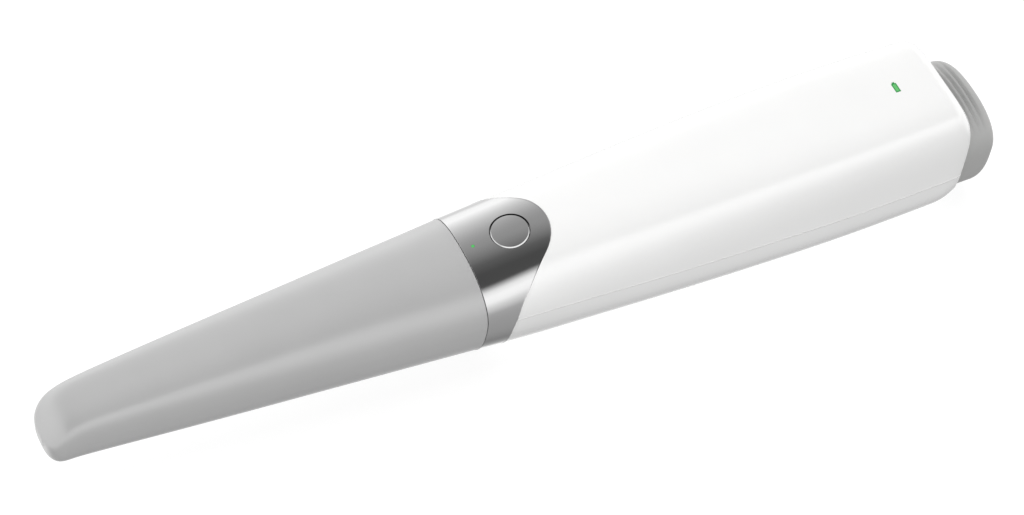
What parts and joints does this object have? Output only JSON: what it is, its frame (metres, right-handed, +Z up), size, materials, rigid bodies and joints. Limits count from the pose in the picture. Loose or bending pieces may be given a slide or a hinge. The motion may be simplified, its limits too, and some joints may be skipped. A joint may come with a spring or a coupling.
{
  "type": "intraoral camera",
  "caption": "Wireless intraoral scanning camera: tapered grey mirror tip, metal collar with a round scan button, white handle and grey battery end cap.",
  "frame": {"origin": "under the middle of the body, on the surface that the belly rests on", "axes": "+X from the scanning tip to the battery end, +Z up towards the button side, +Y completes a right-handed frame"},
  "size_m": [0.2786, 0.0398, 0.0442],
  "materials": {
    "tip_polymer": "matte moulded grey autoclavable polymer",
    "mirror": "front-surface mirror",
    "collar_metal": "satin machined metal",
    "button_metal": "satin machined metal",
    "housing_white": "glossy white moulded plastic",
    "barrel_dark": "matte black moulded plastic",
    "cap_grey": "matte grey moulded plastic",
    "inner_plastic": "dark moulded plastic",
    "rubber": "soft silicone",
    "glass": "coated optical glass",
    "pcb": "green solder mask",
    "chip": "moulded package",
    "aluminium": "milled",
    "steel": "bright",
    "gold": "gold plated",
    "shield": "tinned sheet",
    "light_green": "translucent light guide",
    "cell_wrap": "shrink wrap",
    "flex": "polyimide"
  },
  "bodies": {
    "handle": {"antenna": "flex", "barrel_seal": "rubber", "battery_bay": "inner_plastic", "battery_indicator": "light_green", "board_connector": "inner_plastic", "board_screws": "steel", "button_board": "pcb", "button_bracket": "inner_plastic", "button_dome": "rubber", "camera_left": "barrel_dark", "camera_lenses": "glass", "camera_right": "barrel_dark", "chassis": "aluminium", "chassis_screws": "steel", "collar": "collar_metal", "contact_block": "inner_plastic", "contact_pins": "gold", "detent_plungers": "steel", "flex_cable": "flex", "heat_spreader": "aluminium", "indicator_board": "pcb", "indicator_light_pipe": "light_green", "lower_housing": "housing_white", "main_board": "pcb", "optics_board": "pcb", "optics_carrier": "aluminium", "processor": "chip", "projector": "barrel_dark", "projector_heatsink": "aluminium", "projector_lens": "glass", "snout_barrel": "barrel_dark", "snout_window": "glass", "status_light_pipe": "light_green", "tact_switch": "chip", "upper_housing": "housing_white", "window_heater": "flex", "wireless_module": "shield"},
    "tip": {"scan_tip": "tip_polymer", "tip_mirror": "mirror"},
    "button": {"scan_button": "button_metal"},
    "battery": {"battery_case": "inner_plastic", "battery_pads": "gold", "battery_cells": "cell_wrap", "protection_board": "pcb", "end_cap": "cap_grey", "cap_seal": "rubber", "cap_base": "inner_plastic"}
  },
  "joints": [
    {"name": "tip_pull", "type": "slide", "parent": "handle", "child": "tip", "axis": [-1, 0, 0], "range_m": [0, 0.05]},
    {"name": "button_press", "type": "slide", "parent": "handle", "child": "button", "axis": [0.1309, 0, -0.9914], "range_m": [0, 0.0006], "stiffness_N_per_m": 900, "deforming": ["button_dome"]},
    {"name": "battery_pull", "type": "slide", "parent": "handle", "child": "battery", "axis": [1, 0, 0], "range_m": [0, 0.07]}
  ]
}
